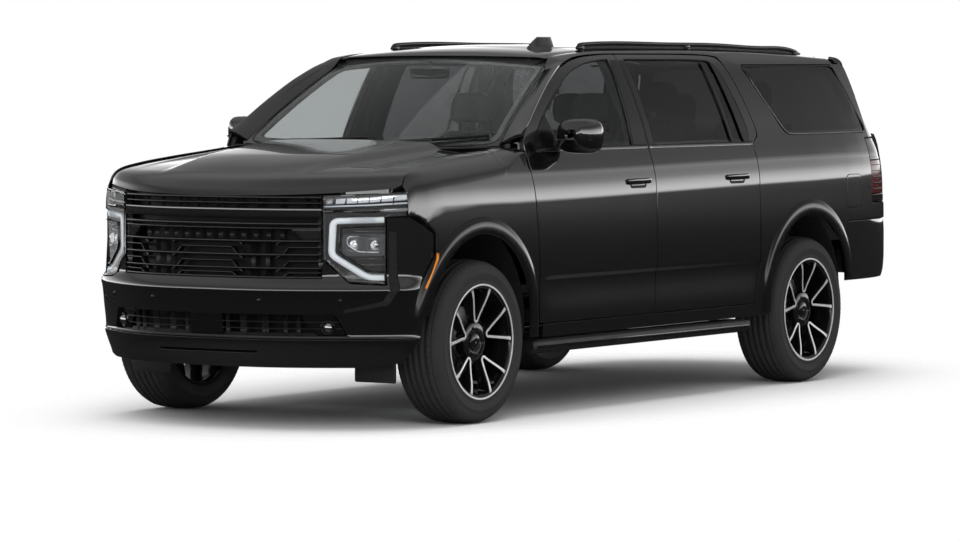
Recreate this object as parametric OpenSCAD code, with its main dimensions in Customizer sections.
// Full-size three-row SUV, built as an assembly of separate pieces.
// Millimetres. The front faces -Y, the driver's (left) side is +X, up is +Z.
// The origin is on the ground, midway between the bumpers and the sides.

/* [Running gear] */
// Distance between the front and rear axles
wheelbase = 3406; // [3380:1:3420]
// Distance between the two tyre centres of an axle
track = 1736; // [1730:1:1740]
// Outer diameter of a tyre
tyre_diameter = 824; // [810:1:830]
// Width of a tyre
tyre_width = 275; // [255:1:280]
// Diameter of the rim at the tyre's bead
rim_diameter = 560; // [540:1:566]
// Distance of each steering axis from the centre plane
kingpin_x = 790; // [780:1:795]

/* [Body] */
// Gap between a moving panel and its neighbour
panel_gap = 6.5; // [6:0.5:7]
// Thickness of a door below the window sill
door_thickness = 105; // [95:1:108]
// Thickness of a door's window frame
frame_thickness = 40; // [34:1:42]
// Thickness of an outer skin
skin = 6; // [5:0.5:6]
// Thickness of the quarter panel with its inner trim
quarter_thickness = 90; // [70:1:95]
// Thickness of the glass
glass = 6; // [5:0.5:8]
// Height of the door's lower edge above the ground
door_bottom = 478; // [475:1:485]

/* [Hinges] */
// Position of the front door's hinge axis along the body
front_hinge_y = -1285; // [-1288:1:-1280]
// Position of the rear door's hinge axis along the body
rear_hinge_y = -105; // [-108:1:-102]

/* [Cabin] */
// Outer diameter of the steering wheel
steering_wheel_diameter = 380; // [360:1:390]
// Width of a front seat
seat_width = 520; // [480:1:530]

/* [Hidden] */

$fn = 48;
front_axle_y = -1873;
rear_axle_y = front_axle_y + wheelbase;
wheel_x = track / 2;
axle_z = tyre_diameter / 2;
rim_r = rim_diameter / 2;
// Both wheel openings are round above this height, and straight below it
arch_z = 500;
arch_r = 455;
flare_width = 80;
flare_x = 1030;
sill_z = 1355;
steered_arch_r = 495;
// Clearance between the pieces of a bearing or ball joint
running = 0.1;

paint = [0.03, 0.03, 0.035];
trim_black = [0.08, 0.08, 0.085];
steel = [0.35, 0.35, 0.37];
dark_glass = [0.1, 0.12, 0.14];

// ---- The body's outer surface ----

// Half width of the body side at a height
WIDTH_AT_Z = [[250, 985], [500, 1000], [700, 1008], [900, 1010], [1100, 1004], [1220, 993],
    [1290, 975], [1355, 952], [1500, 905], [1600, 866], [1700, 822], [1800, 770], [1850, 730],
    [1880, 690]];
// Narrowing of the side towards both ends
TAPER_AT_Y = [[-2450, 0.925], [-2400, 0.95], [-2300, 0.982], [-2200, 0.992], [-1900, 1],
    [1600, 1], [2000, 0.993], [2200, 0.983], [2400, 0.965]];
// Plan outline of the nose, and of the tail at bumper height, as x and y
NOSE = [[0, -2840], [150, -2838], [320, -2818], [480, -2765], [620, -2692], [730, -2620],
    [830, -2543], [900, -2472], [945, -2400], [972, -2335]];
// How far the nose stands back from its plan outline at a height
NOSE_RELIEF = [[335, 25], [440, -10], [560, -15], [680, -30], [700, -34], [740, -34], [752, 0]];
TAIL = [[978, 1998], [972, 2200], [955, 2400], [925, 2560], [875, 2670], [795, 2750], [600, 2820],
    [300, 2860], [0, 2874]];
// Height of the hood above its front line, by the distance behind that line
HOOD_RISE = [[0, 0], [15, 40], [70, 90], [200, 124], [500, 168], [800, 202], [1150, 240]];
// Half width of the hood along the body
HOOD_HALF = [[-2480, 905], [-2300, 870], [-2000, 838], [-1530, 800]];
// Height of the roof on the centre plane
ROOF_Z = [[-800, 1846], [-700, 1870], [-500, 1890], [-200, 1902], [600, 1905], [1200, 1900],
    [1800, 1885], [2250, 1866]];
// Rear face of the liftgate on the centre plane, by height, and its sweep forwards, by width
TAIL_Y = [[560, 2850], [760, 2874], [800, 2825], [900, 2826], [1100, 2820], [1300, 2765],
    [1350, 2735], [1500, 2655], [1600, 2600], [1750, 2505], [1800, 2465]];
TAIL_SWEEP = [[0, 0], [300, 12], [600, 50], [750, 88], [820, 122], [900, 180]];
// Half width of the liftgate at a height
GATE_HALF = [[780, 800], [1300, 800], [1400, 780], [1500, 752], [1600, 720], [1750, 662], [1860, 640]];

function side_x(y, z) = lookup(z, WIDTH_AT_Z) * lookup(y, TAPER_AT_Y);
function nose_y(x) = lookup(abs(x), NOSE);
function hood_z(x, y) = 1155 + 45 * pow(abs(x) / 900, 2)
    + lookup(y - nose_y(x) - 40, HOOD_RISE) * (1 - 0.22 * pow(abs(x) / 800, 2));
function roof_z(x, y) = lookup(y, ROOF_Z) - 30 * pow(x / 660, 2);
function gate_y(x, z) = lookup(z, TAIL_Y) - lookup(abs(x), TAIL_SWEEP);
function lerp(a, b, t) = a + (b - a) * t;
function steps(a, b, n) = [for (i = [0:n]) lerp(a, b, i / n)];
function bend(a, b, c, t) = lerp(lerp(a, b, t), lerp(b, c, t), t);

// ---- Sheets with a thickness, from a grid of points ----

function clamp(i, n) = max(0, min(n - 1, i));
function at(g, i, j) = g[clamp(i, len(g))][clamp(j, len(g[0]))];
function unit(v) = v / norm(v);
function outward(g, i, j) = unit(cross(at(g, i + 1, j) - at(g, i - 1, j), at(g, i, j + 1) - at(g, i, j - 1)));
// The grid moved inwards by t along its own normals
function inset(g, t) = [for (i = [0:len(g) - 1]) [for (j = [0:len(g[0]) - 1]) g[i][j] - t * outward(g, i, j)]];
function shifted(g, v) = [for (row = g) [for (p = row) p + v]];

// Closed solid between an outer grid g and an inner grid h
module between(g, h) {
    n = len(g);
    m = len(g[0]);
    o = n * m;
    function id(i, j) = i * m + j;
    function wall(a, b) = [[a, b, b + o], [a, b + o, a + o]];
    polyhedron(
        concat([for (row = g) for (p = row) p], [for (row = h) for (p = row) p]),
        concat(
            [for (i = [0:n - 2], j = [0:m - 2]) each [
                [id(i, j), id(i, j + 1), id(i + 1, j + 1)], [id(i, j), id(i + 1, j + 1), id(i + 1, j)],
                [o + id(i + 1, j + 1), o + id(i, j + 1), o + id(i, j)],
                [o + id(i + 1, j), o + id(i + 1, j + 1), o + id(i, j)]]],
            [for (i = [0:n - 2]) each concat(wall(id(i, 0), id(i + 1, 0)), wall(id(i + 1, m - 1), id(i, m - 1)))],
            [for (j = [0:m - 2]) each concat(wall(id(0, j + 1), id(0, j)), wall(id(n - 1, j), id(n - 1, j + 1)))]),
        convexity = 8);
}
module sheet(g, t) { between(g, inset(g, t)); }
// One closed mesh of everything inside
module moulded() { resize([0, 0, 0]) children(); }
module both() { children(); mirror([1, 0, 0]) children(); }
module hand(left) { if (left) children(); else mirror([1, 0, 0]) children(); }
// A flat outline in y and z, carried across from x = a to x = b
module across(a, b) { translate([a, 0, 0]) rotate([90, 0, 90]) linear_extrude(b - a) children(); }
// A box by its low and high corners
module block(lo, hi) { translate(lo) cube(hi - lo); }
// A round bar from point a to point b
module bar(a, b, r) {
    d = b - a;
    translate(a) rotate([0, acos(d[2] / norm(d)), atan2(d[1], d[0])]) cylinder(r = r, h = norm(d));
}

// Part of the body side from depth a to depth b behind its outer surface
module side_layer(y0, y1, z0, z1, a, b, n = 6) {
    ys = steps(y0, y1, n);
    zs = concat([z0], [for (k = WIDTH_AT_Z) if (k[0] > z0 + 1 && k[0] < z1 - 1) k[0]], [z1]);
    g = [for (y = ys) [for (z = zs) [side_x(y, z), y, z]]];
    between(shifted(g, [-a, 0, 0]), shifted(g, [-b, 0, 0]));
}

// ---- Outlines in side view ----

FRONT_DOOR = [[-1325, door_bottom], [-1345, 900], [-1385, 1300], [-1380, 1425], [-1345, 1465], [-1150, 1606],
    [-950, 1722], [-750, 1802], [-550, 1838], [-300, 1850], [-168.5, 1852], [-168.5, door_bottom]];
REAR_DOOR = [[-162, door_bottom], [-162, 1852], [500, 1852], [800, 1847], [900, 1838], [945, 1795], [985, 1680],
    [1040, 1440], [1030, 1402], [975, 1378], [955, 1330], [955, 700], [900, door_bottom]];
FRONT_WINDOW = [[-1290, 1368], [-1290, 1440], [-1140, 1556], [-945, 1671], [-745, 1762], [-550, 1806],
    [-300, 1824], [-215, 1826], [-230, 1368]];
REAR_WINDOW = [[-105, 1368], [-105, 1826], [500, 1826], [790, 1820], [850, 1790], [905, 1640], [950, 1430], [920, 1368]];
QUARTER_WINDOW = [[1425, 1405], [1365, 1420], [1315, 1480], [1200, 1650], [1135, 1775], [1150, 1792], [2195, 1792],
    [2225, 1780], [2375, 1425], [2350, 1405]];

module arch_outline(axle_y, r) {
    translate([axle_y, arch_z]) circle(r);
    translate([axle_y - r, 0]) square([2 * r, arch_z]);
}
module flare(axle_y) {
    color(paint) across(940, flare_x) difference() {
        intersection() {
            arch_outline(axle_y, arch_r + flare_width);
            translate([axle_y - 600, arch_z - 60]) square([1200, 800]);
        }
        arch_outline(axle_y, arch_r);
    }
}

// ---- Chassis ----

RAIL = [[-2640, 500], [-1420, 500], [-1180, 380], [820, 380], [1120, 620], [1900, 620], [2150, 520], [2740, 520]];
rail_depth = 120;
module chassis_frame() {
    color(trim_black) {
        both() across(395, 475) polygon(concat(RAIL, [for (i = [len(RAIL) - 1:-1:0]) RAIL[i] + [0, rail_depth]]));
        for (y = [-2640, 2680]) block([-400, y, 520], [400, y + 60, 610]);
        for (y = [-1140, -300]) block([-400, y, 380], [400, y + 70, 412]);
        block([-400, 640, 370], [400, 710, 402]);
        for (y = [1150, 1860]) block([-400, y, 640], [400, y + 60, 720]);
        // Brackets and body mounts between the rails and the floor
        both() for (y = [-1100, -200, 760]) {
            block([470, y, 400], [640, y + 70, 470]);
            translate([600, y + 35, 465]) cylinder(r = 32, h = 134.6);
        }
        both() for (y = [1250, 1800]) translate([435, y, 735]) cylinder(r = 32, h = 34.6);
    }
}

hitch_z = 455;
module tow_hitch() {
    color(trim_black) difference() {
        union() {
            block([-520, 2600, hitch_z - 32], [520, 2660, hitch_z + 32]);
            both() block([478, 2560, hitch_z - 32], [498, 2660, 600]);
            block([-34, 2600, hitch_z - 34], [34, 2800, hitch_z + 34]);
            both() block([34, 2690, hitch_z - 40], [110, 2700, hitch_z + 20]);
        }
        block([-25.4, 2640, hitch_z - 25.4], [25.4, 2801, hitch_z + 25.4]);
        translate([-40, 2745, hitch_z]) rotate([0, 90, 0]) cylinder(r = 8, h = 80);
        both() translate([82, 2680, hitch_z - 15]) rotate([-90, 0, 0]) cylinder(r = 13, h = 30);
    }
}

// ---- Floor, firewall and wheel housings ----

tunnel_half = 158;
module floor_pan() {
    color(trim_black) {
        difference() {
            union() {
                block([-788, -1330, 600], [788, 935, 625]);
                block([-385, 930, 600], [385, 1020, 625]);
                both() block([485, 930, 600], [788, 1020, 625]);
                block([-790, -1355, 600], [790, -1325, 1330]);
                block([-tunnel_half, -1326, 620], [tunnel_half, 380, 700]);
            }
            block([24 - tunnel_half, -1356, 590], [tunnel_half - 24, 350, 680]);
        }
        difference() {
            block([-700, 1000, 600], [700, 1040, 795]);
            block([-480, 999, 599], [480, 1041, 760]);
        }
        block([-700, 1030, 770], [700, 2600, 795]);
        both() difference() {
            block([660, 1052, 790], [885, 2060, 1010]);
            across(650, 980) arch_outline(rear_axle_y, arch_r + 25);
        }
    }
}

// ---- Body sides ----

// Lower edge of the band that is the windscreen pillar and the roof's side
function band_low(y) = lookup(y, [[-1400, 1440], [-1345, 1475], [-1150, 1615], [-950, 1731], [-750, 1811],
    [-550, 1846], [-300, 1858], [-160, 1859.5], [800, 1856], [1100, 1800], [2300, 1800]]);
// Upper edge of that band, along the windscreen and then the roof
function band_high(y) = y < -724
    ? let(v = (y + 1385) / 661) [lerp(776, 667, v) + 4, y, lerp(1392, 1802, v)]
    : [663, y, roof_z(660, y)];
module roof_band() {
    ys = [-1385, -1280, -1150, -1000, -850, -730, -550, -300, 200, 700, 850, 1100, 1500, 1900, 2246];
    g = [for (y = ys) let(z = band_low(y), a = [side_x(y, z), y, z], c = band_high(y))
        [for (t = [0, 0.25, 0.5, 0.75, 1]) bend(a, [a[0] * 0.96 + 0.02 * c[0], y, c[2] + 4], c, t)]];
    sheet(g, 40);
}
module rear_corner() {
    zs = [905, 1000, 1100, 1220, 1300, 1400, 1500, 1600, 1700, 1790, 1840];
    ts = steps(0, 1, 5);
    g = [for (t = ts) [for (z = zs) let(a = [side_x(2390, z), 2390], x = lookup(z, GATE_HALF) + panel_gap,
        c = [x, gate_y(x, z)], p = bend(a, [a[0] - 18, c[1] - 15], c, t)) [p[0], p[1], z]]];
    sheet(g, 55);
}
// Room for a door's window frame and the gap round it
module door_frame_space(outline, y0, y1) {
    intersection() {
        union() {
            side_layer(y0, y1, 1340, 1846, -60, frame_thickness + 12, 8);
            side_layer(y0, y1, 1840, 1880, -60, 20, 8);
        }
        across(500, 1100) offset(delta = panel_gap) polygon(outline);
    }
}
module body_side(left) {
    color(paint) hand(left) moulded() {
        difference() {
            roof_band();
            door_frame_space(FRONT_DOOR, -1400, -150);
            door_frame_space(REAR_DOOR, -170, 1060);
            // The door's front corner swings inwards here
            intersection() {
                block([850, -1400, 1340], [1000, -1200, 1530]);
                across(800, 1100) offset(delta = panel_gap) polygon(FRONT_DOOR);
            }
        }
        // Rocker with its inner sill
        side_layer(-1293, 960, 405, door_bottom - panel_gap, 0, 90);
        block([800, -1370, 420], [915, 1000, door_bottom - panel_gap]);
        block([800, -1370, 470], [888, 1000, 560]);
        // Hinge pillar and centre pillar, behind the doors
        block([790, -1372, 430], [846, -1270, 1380]);
        block([780, -1372, 1330], [846, -1290, 1400]);
        side_layer(-225, -60, 470, 1385, 118, 175, 1);
        side_layer(-225, -60, 1362, 1385, 60, 175, 1);
        side_layer(-225, -60, 1362, 1835, 60, 105, 1);
        difference() {
            union() {
                side_layer(890, 2395, 480, 1362, 0, quarter_thickness, 8);
                side_layer(890, 2395, 1350, 1850, 0, 50, 8);
                side_layer(900, 1050, 480, 1372, 100, 160, 1);
                rear_corner();
            }
            across(600, 1100) offset(delta = panel_gap) polygon(REAR_DOOR);
            across(600, 1100) offset(delta = 3) polygon(QUARTER_WINDOW);
            across(700, 1100) arch_outline(rear_axle_y, arch_r);
            block([600, 1991, 400], [1100, 2450, 905]);
            tail_lamp_space();
        }
        difference() {
            flare(rear_axle_y);
            block([600, 1991, 400], [1100, 2450, 905]);
        }
    }
}

// ---- Lamps ----

module tail_lamp_space() { block([600, 2326, 998], [1100, 2900, 1374]); }
module tail_lamps() {
    color([0.35, 0.02, 0.03]) both() moulded() {
        zs = steps(1004, 1368, 6);
        ts = steps(0, 1, 6);
        g = [for (t = ts) [for (z = zs) let(a = [side_x(2334, z), 2334], x = lookup(z, GATE_HALF) + panel_gap,
            c = [x, gate_y(x, z)], p = bend(a, [a[0] - 16, c[1] - 10], c, t)) [p[0], p[1], z]]];
        sheet(g, 60);
    }
}

// Part of the nose at some widths and heights, moved back by out, t thick
module nose_layer(xs, zs, out, t) {
    g = [for (x = xs) [for (z = zs) [x, nose_y(x) + out + lookup(z, NOSE_RELIEF), z]]];
    between(g, shifted(g, [0, t, 0]));
}
module headlamps() {
    color([0.7, 0.7, 0.72]) both() moulded() difference() {
        nose_layer([608, 650, 730, 780, 830, 870, 905, 935], [742, 900, 1060, 1165], 4, 110);
        across(550, 1000) polygon([[-2600, 730], [-2400, 730], [-2400, 1000], [-2560, 980]]);
        block([893, -2600, 700], [1000, -2300, 1004]);
    }
}

GRILLE_X = [-600, -480, -320, -150, 0, 150, 320, 480, 600];
module grille() {
    color(trim_black) {
        for (z = [756, 800, 868, 935, 1005, 1105]) moulded() nose_layer(GRILLE_X, [z - 9, z + 9], 12, 40);
        moulded() nose_layer(GRILLE_X, [1141, 1159], 10, 18);
        moulded() nose_layer(GRILLE_X, [1040, 1095], 2, 40);
        moulded() for (x = [-560, -280, 0, 280, 560]) {
            block([x - 10, nose_y(x) + 30, 747], [x + 10, nose_y(x) + 62, 1112]);
            block([x - 10, nose_y(x) + 14, 1100], [x + 10, nose_y(x) + 34, 1150]);
        }
    }
}

// ---- Bumpers ----

// Front bumper side pieces run back to the wheel opening
module front_bumper() {
    side_xs = [for (p = NOSE) p[0]];
    xs = concat([for (i = [len(side_xs) - 1:-1:1]) -side_xs[i]], side_xs);
    color(paint) moulded() {
        difference() {
            nose_layer(xs, [335, 440, 560, 680, 700, 740], 0, 75);
            block([-620, -2900, 470], [620, -2600, 570]);
            both() across(800, 1100) translate([front_axle_y, arch_z]) circle(arch_r + 5);
        }
        both() nose_layer([900, 922, 945, 972], [730, 752, 850, 1000], 0, 50);
        both() intersection() {
            flare(front_axle_y);
            block([900, -2500, 440], [1100, -2288, 1000]);
        }
        // Crash beam behind the skin, and the lower air guides
        block([-560, -2668, 520], [560, -2641, 640]);
        both() block([560, -2668, 540], [600, -2560, 620]);
        both() block([740, -2560, 225], [860, -2545, 350]);
    }
}
module rear_bumper() {
    zs = [555, 620, 700, 760, 776];
    outs = [-18, -6, 0, -2, -8];
    g = [for (i = [0:len(TAIL) - 1]) [for (j = [0:len(zs) - 1]) [TAIL[i][0], TAIL[i][1] + (i > 2 ? outs[j] : 0), zs[j]]]];
    k = [for (i = [0:4]) [for (z = [770, 840, 898]) [TAIL[i][0] - 4, TAIL[i][1] - (i > 2 ? 20 : 0), z]]];
    color(paint) moulded() {
        both() between(g, [for (row = g) [for (p = row) [p[0] * 0.93, p[1] > 2700 ? p[1] - 70 : p[1] - 5, p[2]]]]);
        both() between(k, [for (row = k) [for (p = row) [p[0] * 0.94, p[1] - 5, p[2]]]]);
        both() intersection() {
            flare(rear_axle_y);
            block([900, 1998, 440], [1100, 2450, 898]);
        }
        block([-540, 2742, 560], [540, 2810, 700]);
    }
}

// ---- Front wings, hood and cowl ----

function hood_edge(y) = lookup(y, HOOD_HALF);
fender_shoulder = 120;
// Points up one section of the wing: the side, then the bend over to the hood's edge
function fender_section(y) = let(x = hood_edge(y) + panel_gap, top = hood_z(x, y), low = top - fender_shoulder,
    a = [side_x(y, low), y, low], c = [x, y, top])
    concat([for (t = [0, 0.25, 0.5, 0.75]) let(z = lerp(410, low, t)) [side_x(y, z), y, z]],
        [for (t = [0, 0.25, 0.5, 0.75, 1]) bend(a, [a[0] - 12, y, top - 6], c, t)]);
module front_fenders() {
    color(paint) both() moulded() {
        g = [for (y = [-2440, -2390, -2300, -2200, -2080, -1950, -1800, -1650, -1520, -1440, -1391]) fender_section(y)];
        difference() {
            union() {
                sheet(g, 10);
                // Strip between the wheel opening and the door
                side_layer(-1445, -1300, 410, 1270, 0, 10, 2);
            }
            across(700, 1100) arch_outline(front_axle_y, arch_r);
            across(700, 1100) offset(delta = panel_gap) polygon(FRONT_DOOR);
            across(700, 1100) polygon([[-2500, 300], [-2280, 300], [-2280, 1006], [-2500, 1006]]);
            block([500, -2500, 900], [960, -2395, 1185]);
        }
        difference() {
            flare(front_axle_y);
            block([900, -2500, 300], [1100, -2280, 1006]);
            across(700, 1100) offset(delta = panel_gap) polygon(FRONT_DOOR);
        }
    }
}

function hood_rear(x) = -1652 + 122 * pow(x / 800, 2);
module hood() {
    us = steps(-1, 1, 14);
    vs = [0, 0.012, 0.05, 0.15, 0.35, 0.6, 0.8, 1];
    function place(u, v) = let(yf = nose_y(u * 900) + 42, yr = hood_rear(u * 800), y = lerp(yf, yr, v),
        x = u * hood_edge(y)) [x, y, hood_z(x, y)];
    g = [for (u = us) [for (v = vs) place(u, v)]];
    color(paint) moulded() sheet(g, 28);
}
module cowl_panel() {
    us = steps(-1, 1, 8);
    g = [for (u = us) [for (v = [0, 0.5, 1]) let(x = u * 795, y0 = hood_rear(x) + panel_gap + 6 + 40 * pow(u, 6),
        y1 = -1566 + 166 * u * u, y = lerp(y0, y1, v)) [x, y, 1372 + 6 * u * u - 10 * v]]];
    color(trim_black) moulded() {
        sheet(g, 10);
        // Plenum wall that carries the panel
        block([-780, -1420, 1290], [780, -1358, 1325]);
        between([for (x = [-780, 780]) [for (z = [1290, 1366]) [x, -1466, z]]],
            [for (x = [-780, 780]) [for (z = [1290, 1366]) [x, -1406, z]]]);
    }
}

// ---- Glass ----

function screen_point(u, v) = [u * lerp(776, 667, v), lerp(-1560 + 175 * u * u, -800 + 76 * u * u, v),
    lerp(1370 + 20 * u * u, 1835 - 37 * u * u, v) + 80 * v * (1 - v)];
module fixed_glass() {
    color(dark_glass) {
        moulded() sheet([for (u = steps(-1, 1, 10)) [for (v = steps(0, 1, 6)) screen_point(u, v)]], glass);
        both() moulded() intersection() {
            side_layer(1100, 2394, 1380, 1810, 2, 2 + glass, 5);
            across(600, 1100) polygon(QUARTER_WINDOW);
        }
    }
}
module window(outline, y0, y1, left) {
    color(dark_glass) hand(left) moulded() intersection() {
        side_layer(y0, y1, 1364, 1840, 8, 8 + glass, 4);
        across(600, 1100) offset(delta = -0.5) polygon(outline);
    }
}

// ---- Doors ----

// Outer skin on the whole outline, and an inner panel that starts further from each end
module door(outline, window_outline, y0, y1, inner_y0, inner_y1, left) {
    color(paint) hand(left) moulded() difference() {
        union() {
            intersection() {
                side_layer(y0, y1, door_bottom, 1876, 0, skin);
                across(600, 1100) polygon(outline);
            }
            intersection() {
                union() {
                    side_layer(inner_y0, inner_y1, door_bottom + 4, sill_z, skin - 1, door_thickness, 4);
                    side_layer(y0, y1, sill_z - 10, 1876, skin - 1, frame_thickness);
                }
                across(600, 1100) offset(delta = -14) polygon(outline);
            }
        }
        across(500, 1100) polygon(window_outline);
        // Slot that the glass drops into
        side_layer(y0 + 60, y1 - 60, 1362, 1372, 7, 9 + glass, 4);
    }
}
module handle(y) {
    color(paint) translate([1006, y, 1178]) cube([22, 230, 30], center = true);
}
module front_door(left) {
    door(FRONT_DOOR, FRONT_WINDOW, -1390, -165, front_hinge_y + 23, -190, left);
    hand(left) handle(-345);
}
module rear_door(left) {
    door(REAR_DOOR, REAR_WINDOW, -163, 1045, rear_hinge_y + 3, 945, left);
    hand(left) handle(710);
}
module mirror_housing(left) {
    color(trim_black) hand(left) {
        hull() {
            translate([975, -1055, 1395]) sphere(r = 26, $fn = 24);
            translate([1133, -1035, 1405]) sphere(r = 30, $fn = 24);
            translate([1131, -1015, 1468]) sphere(r = 34, $fn = 24);
            translate([985, -1045, 1462]) sphere(r = 34, $fn = 24);
            translate([1040, -1100, 1435]) sphere(r = 36, $fn = 24);
        }
        hull() {
            translate([942, -1110, 1372]) cube([26, 110, 12]);
            translate([985, -1090, 1385]) cube([26, 70, 12]);
        }
    }
}

// ---- Liftgate ----

gate_hinge_y = 2277;
module gate_layer(zs, a, b, widen) {
    g = [for (u = steps(1, -1, 10)) [for (z = zs) let(x = u * (lookup(z, GATE_HALF) + widen)) [x, gate_y(x, z), z]]];
    between(shifted(g, [0, -a, 0]), shifted(g, [0, -b, 0]));
}
module liftgate() {
    color(paint) moulded() {
        difference() {
            union() {
                gate_layer([784, 900, 1100, 1300, 1350], 0, skin, -3);
                gate_layer([788, 900, 1100, 1300, 1350], skin - 1, 100, -27);
                gate_layer([1345, 1400, 1500, 1600, 1750, 1795], 0, skin, -3);
                gate_layer([1345, 1400, 1500, 1600, 1750, 1795], skin - 1, 40, -27);
            }
            gate_layer([1372, 1400, 1500, 1600, 1750, 1762], -20, 60, -78);
            block([-270, 2700, 930], [270, 2900, 1085]);
        }
        // Back of the plate recess
        block([-275, 2730, 925], [275, 2760, 1090]);
        // Roof spoiler and the hinge flange under it
        g = [for (x = steps(-628, 628, 8)) [for (y = [2252, 2300, 2400, 2510]) [x, y - 40 * pow(x / 640, 2) * (y - 2252) / 258,
            roof_z(x, 2250) + (y - 2252) * -0.22 * (y > 2300 ? 1 : 0.3) + 1]]];
        between([for (i = [0:len(g) - 1]) g[i]], [for (row = g) [for (p = row) p - [0, 0, lookup(p[1], [[2252, 14], [2300, 30], [2500, 22]])]]]);
        for (x = [-560, 560]) block([x - 50, gate_hinge_y + 13, 1790], [x + 50, 2450, 1820]);
        block([-600, gate_hinge_y + 19, 1772], [600, 2440, 1800]);
    }
}
module liftgate_glass() {
    color(dark_glass) moulded() gate_layer([1372.5, 1400, 1500, 1600, 1750, 1761.5], 6, 6 + glass, -78.6);
}
module roof_panel() {
    g = [for (x = steps(-657, 657, 10)) [for (y = [-796, -700, -500, -200, 600, 1200, 1800, 2245])
        [x, y + (y < -790 ? 76 * pow(x / 667, 2) + 6 : y < -600 ? 40 * pow(x / 667, 2) : 0), 0]
        + [0, 0, roof_z(x, y + (y < -790 ? 76 * pow(x / 667, 2) : y < -600 ? 40 * pow(x / 667, 2) : 0))]]];
    color(paint) moulded() sheet(g, 24);
}
module roof_rails() {
    path = [[-320, 1888], [-300, 1902], [-250, 1912], [600, 1912], [1200, 1908], [1700, 1896], [1930, 1886], [2000, 1870]];
    color(trim_black) both() moulded() {
        for (i = [0:len(path) - 2]) hull() {
            translate([597, path[i][0], path[i][1]]) cube([32, 4, 22], center = true);
            translate([597, path[i + 1][0], path[i + 1][1]]) cube([32, 4, 22], center = true);
        }
        for (y = [-305, 820, 1940]) block([582, y, roof_z(597, y + 20) + 2.5], [612, y + 40, roof_z(597, y + 20) + 26]);
    }
}

// ---- Running boards and wheel liners ----

module running_boards() {
    color(trim_black) both() {
        across(880, 1008) polygon([[-1395, 345], [-1380, 392], [800, 392], [850, 372], [858, 345], [830, 318], [-1360, 318]]);
        for (y = [-1100, -200, 760]) block([700, y, 400], [880, y + 60, 420]);
        for (y = [-1100, -200, 760]) block([860, y, 330], [882, y + 60, 420]);
    }
}
module liner(axle_y, r, x0, x1) {
    color(trim_black) across(x0, x1) difference() {
        intersection() {
            arch_outline(axle_y, r);
            translate([axle_y - 600, 430]) square([1200, 900]);
        }
        arch_outline(axle_y, r - 6);
    }
}
module wheel_liners() {
    both() {
        liner(front_axle_y, steered_arch_r, 560, 915);
        liner(rear_axle_y, arch_r + 18, 720, 900);
    }
}

// ---- Cabin ----

module dashboard() {
    color([0.12, 0.12, 0.13]) {
        across(-770, 770) polygon([[-1318, 980], [-1318, 1270], [-1120, 1255], [-930, 1190], [-880, 1120], [-900, 1000], [-1000, 940]]);
        across(-130, 130) polygon([[-950, 702], [-950, 1000], [-890, 1010], [-820, 800], [-700, 790], [-560, 860], [-60, 880], [-40, 702]]);
        // Instrument hood, and the column up to the steering wheel's hub
        block([230, -1010, 1180], [570, -930, 1252]);
        bar(wheel_centre - 240 * column, wheel_centre - 60 * column, 34);
        bar(wheel_centre - 70 * column, wheel_centre - 34 * column, 20);
    }
}
// The steering column points from the dashboard to the driver
column_tilt = 25;
column = [0, cos(column_tilt), sin(column_tilt)];
wheel_centre = [400, -712, 1206];
module steering_wheel() {
    r = steering_wheel_diameter / 2;
    color(trim_black) translate(wheel_centre) rotate([column_tilt - 90, 0, 0]) {
        rotate_extrude() translate([r - 15, 0]) circle(r = 15, $fn = 24);
        difference() {
            union() {
                translate([0, 0, -38]) cylinder(r = 62, h = 34);
                translate([-r + 12, -16, -20]) cube([2 * r - 24, 32, 12]);
                translate([-14, -r + 12, -20]) cube([28, r - 12, 12]);
            }
            translate([0, 0, -60]) cylinder(r = 20 + running, h = 30);
        }
    }
}
SEAT_BACK = [[0, 0], [130, 0], [290, 580], [205, 600], [150, 590], [60, 250]];
module seat(x, y, z, w) {
    block([x - w / 2, y - 520, z], [x + w / 2, y - 6, z + 150]);
    across(x - w / 2 + 10, x + w / 2 - 10) translate([y - 2, z + 60]) polygon(SEAT_BACK);
    across(x - 130, x + 130) translate([y + 190, z + 668]) polygon([[0, 0], [90, 0], [105, 160], [85, 178], [30, 176], [6, 120]]);
    for (s = [-60, 60]) bar([x + s, y + 232, z + 645], [x + s, y + 240, z + 690], 6);
}
module front_seats() {
    color([0.11, 0.11, 0.12]) both() {
        seat(400, -90, 800, seat_width);
        block([200, -560, 625.5], [600, -150, 800]);
    }
}
module rear_seats() {
    color([0.11, 0.11, 0.12]) {
        both() {
            seat(345, 890, 790, 640);
            block([120, 450, 625.5], [600, 830, 790]);
            seat(320, 1810, 850, 600);
            block([80, 1420, 795.5], [560, 1720, 850]);
        }
    }
}

// ---- Engine, driveline, exhaust and fuel tank ----

module engine() { color(steel) block([-290, -2330, 560], [290, -1560, 1120]); }
module cooling_pack() {
    color(trim_black) {
        block([-470, -2635, 640], [470, -2560, 1090]);
        both() block([470, -2640, 622], [520, -2570, 1130]);
    }
}
module driveline() {
    color(steel) {
        translate([0, -1555, 530]) rotate([-90, 0, 0]) cylinder(r1 = 150, r2 = 95, h = 560);
        translate([0, -998, 530]) rotate([-90, 0, 0]) cylinder(r = 110, h = 280);
        bar([0, -710, 500], [0, 1330, 425], 42);
        translate([0, 1533, 415]) scale(1) sphere(r = 120);
        translate([0, 1320, 415]) rotate([-90, 0, 0]) cylinder(r = 60, h = 120);
        both() bar([100, 1533, 415], [715, 1533, 412], 17);
    }
}
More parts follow.
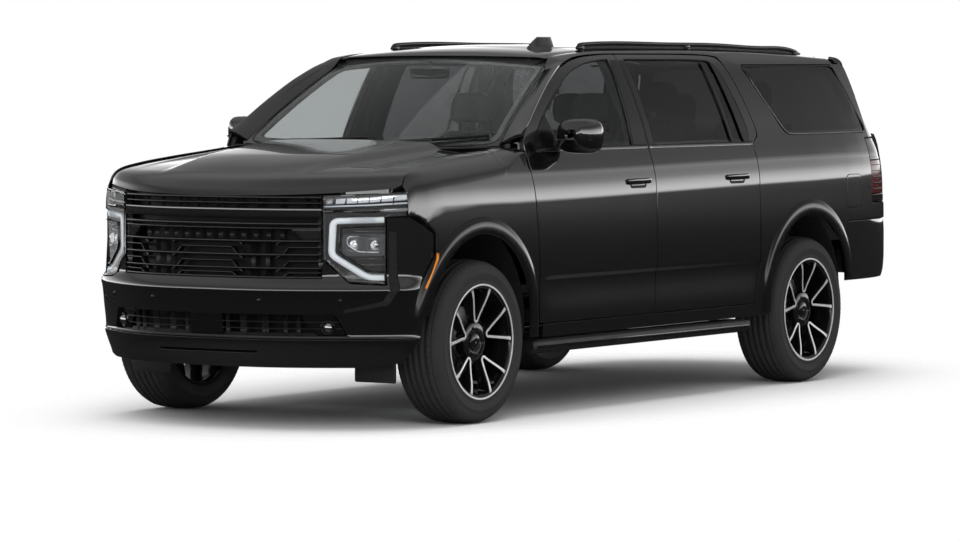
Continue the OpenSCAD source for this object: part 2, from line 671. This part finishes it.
// Route of the exhaust pipe, from the engine to the tail pipe
PIPE = [[-300, -1150, 330], [-300, 1760, 330], [-340, 2000, 425], [-560, 2380, 430], [-600, 2640, 440]];
pipe_r = 30;
module exhaust() {
    color(steel) {
        for (i = [0:len(PIPE) - 2]) bar(PIPE[i], PIPE[i + 1], pipe_r);
        // Clamps at the bends, a little wider than the pipe
        for (i = [1:len(PIPE) - 2]) translate(PIPE[i]) sphere(r = pipe_r + 8);
        translate([-300, -200, 330]) rotate([-90, 0, 0]) cylinder(r = 88, h = 560);
    }
}
module fuel_tank() {
    color(trim_black) moulded() hull() {
        for (y = [-60, 560], z = [330, 540]) translate([90, y, z]) rotate([0, 90, 0]) cylinder(r = 40, h = 275, $fn = 24);
    }
}
module spare_wheel() {
    color(trim_black) translate([0, 2298, 520]) {
        rotate_extrude() polygon([[240, 0], [355, 0], [372, 30], [372, 150], [355, 180], [240, 180]]);
        cylinder(r = 240.5, h = 60);
    }
}

// ---- Suspension, knuckles and wheels ----

ball_low = 300;
ball_high = 560;
arm_half = 170;
module arm(x0, x1, z0, z1, axle_y, spread) {
    for (s = [-1, 1]) bar([x0, axle_y + s * spread, z0], [x1, axle_y, z1], 20);
}
module suspension_arms() {
    color(steel) both() {
        // Front arms, each ending in an eye around the knuckle's stud
        for (k = [[440, ball_low + 5, arm_half], [620, ball_high + 5, arm_half / 2]]) {
            difference() {
                union() {
                    arm(k[0], kingpin_x - 20, k[1] + 15, k[1] + 7, front_axle_y, k[2]);
                    translate([kingpin_x, front_axle_y, k[1] - 10]) cylinder(r = 26, h = 34);
                }
                translate([kingpin_x, front_axle_y, k[1] - 60]) cylinder(r = 11 + running, h = 120);
            }
        }
        bar([560, front_axle_y + 4, 330], [520, front_axle_y + 4, 860], 46);
        block([470, front_axle_y - 60, 620], [540, front_axle_y + 64, 900]);
        // Rear arms and the uprights that carry the rear wheels
        arm(440, 760, 330, 300, rear_axle_y, arm_half);
        arm(440, 760, 600, 560, rear_axle_y, 120);
        difference() {
            union() {
                block([745, rear_axle_y - 45, 280], [805, rear_axle_y + 45, 580]);
                translate([735, rear_axle_y, axle_z]) rotate([0, 90, 0]) cylinder(r = 62, h = 90);
            }
            translate([717, rear_axle_y, axle_z]) rotate([0, 90, 0]) cylinder(r = 25 + running, h = 130);
        }
        bar([560, rear_axle_y + 150, 330], [540, rear_axle_y + 150, 760], 46);
    }
}
module knuckle(left) {
    color(steel) hand(left) difference() {
        union() {
            block([kingpin_x - 32, front_axle_y - 42, ball_low + 36], [kingpin_x + 22, front_axle_y + 42, ball_high - 12]);
            translate([kingpin_x, front_axle_y, ball_low - 30]) cylinder(r = 11, h = 80);
            translate([kingpin_x, front_axle_y, ball_high - 20]) cylinder(r = 11, h = 70);
            translate([kingpin_x - 40, front_axle_y, axle_z]) rotate([0, 90, 0]) cylinder(r = 62, h = 75);
            // Steering arm and brake caliper bracket
            block([kingpin_x - 60, front_axle_y + 30, 352], [kingpin_x - 20, front_axle_y + 160, 380]);
            block([kingpin_x + 10, front_axle_y + 30, 470], [kingpin_x + 22, front_axle_y + 120, 530]);
        }
        translate([kingpin_x - 60, front_axle_y, axle_z]) rotate([0, 90, 0]) cylinder(r = 25 + running, h = 130);
    }
}

module at_wheel(front, left) {
    translate([left ? wheel_x : -wheel_x, front ? front_axle_y : rear_axle_y, axle_z]) rotate([0, left ? 90 : -90, 0]) children();
}
module tyre(front, left) {
    w = tyre_width / 2;
    r = tyre_diameter / 2;
    color([0.05, 0.05, 0.05]) at_wheel(front, left) rotate_extrude($fn = 96)
        polygon([[rim_r + 0.4, -w + 22], [rim_r + 22, -w + 6], [rim_r + 70, -w], [r - 45, -w + 2], [r - 12, -w + 20],
            [r - 3, -w + 45], [r, -w + 70], [r, w - 70], [r - 3, w - 45], [r - 12, w - 20], [r - 45, w - 2],
            [rim_r + 70, w], [rim_r + 22, w - 6], [rim_r + 0.4, w - 22]]);
}
module road_wheel(front, left) {
    w = tyre_width / 2;
    color(paint) at_wheel(front, left) {
        // Barrel, with the outer flange and the rim's face
        rotate_extrude($fn = 96) polygon([[rim_r - 14, -w + 14], [rim_r, -w + 14], [rim_r, w - 21], [rim_r + 16, w - 9.5],
            [rim_r + 16, w - 4], [rim_r - 30, w - 8], [rim_r - 30, w - 30], [rim_r - 14, w - 34]]);
        // Hub disc, and five double spokes
        translate([0, 0, 20]) cylinder(r = 92, h = 75);
        for (a = [0:72:359]) rotate([0, 0, a + 18]) for (s = [-1, 1])
            translate([60, s * 34 - 15, w - 56]) rotate([0, 0, s * 9]) cube([rim_r - 80, 30, 34]);
        // Brake disc and the stub that turns in the upright
        translate([0, 0, -28]) cylinder(r = 175, h = 26);
        translate([0, 0, -4]) cylinder(r = 70, h = 30);
        translate([0, 0, -100]) cylinder(r = 25, h = 80);
    }
}

// ---- The whole ----

chassis_frame();
tow_hitch();
floor_pan();
body_side(true);  // body_side_left
body_side(false);  // body_side_right
roof_panel();
cowl_panel();
front_fenders();
front_bumper();
grille();
headlamps();
rear_bumper();
tail_lamps();
fixed_glass();
running_boards();
roof_rails();
wheel_liners();
dashboard();
front_seats();
rear_seats();
engine();
cooling_pack();
driveline();
exhaust();
fuel_tank();
suspension_arms();
spare_wheel();
hood();
liftgate();
liftgate_glass();
front_door(true);  // front_door_left
front_door(false);  // front_door_right
rear_door(true);  // rear_door_left
rear_door(false);  // rear_door_right
window(FRONT_WINDOW, -1320, -180, true);  // front_glass_left
window(FRONT_WINDOW, -1320, -180, false);  // front_glass_right
window(REAR_WINDOW, -130, 980, true);  // rear_glass_left
window(REAR_WINDOW, -130, 980, false);  // rear_glass_right
mirror_housing(true);  // mirror_left
mirror_housing(false);  // mirror_right
knuckle(true);  // knuckle_left
knuckle(false);  // knuckle_right
tyre(true, true);  // tyre_front_left
tyre(true, false);  // tyre_front_right
tyre(false, true);  // tyre_rear_left
tyre(false, false);  // tyre_rear_right
road_wheel(true, true);  // wheel_front_left
road_wheel(true, false);  // wheel_front_right
road_wheel(false, true);  // wheel_rear_left
road_wheel(false, false);  // wheel_rear_right
steering_wheel();
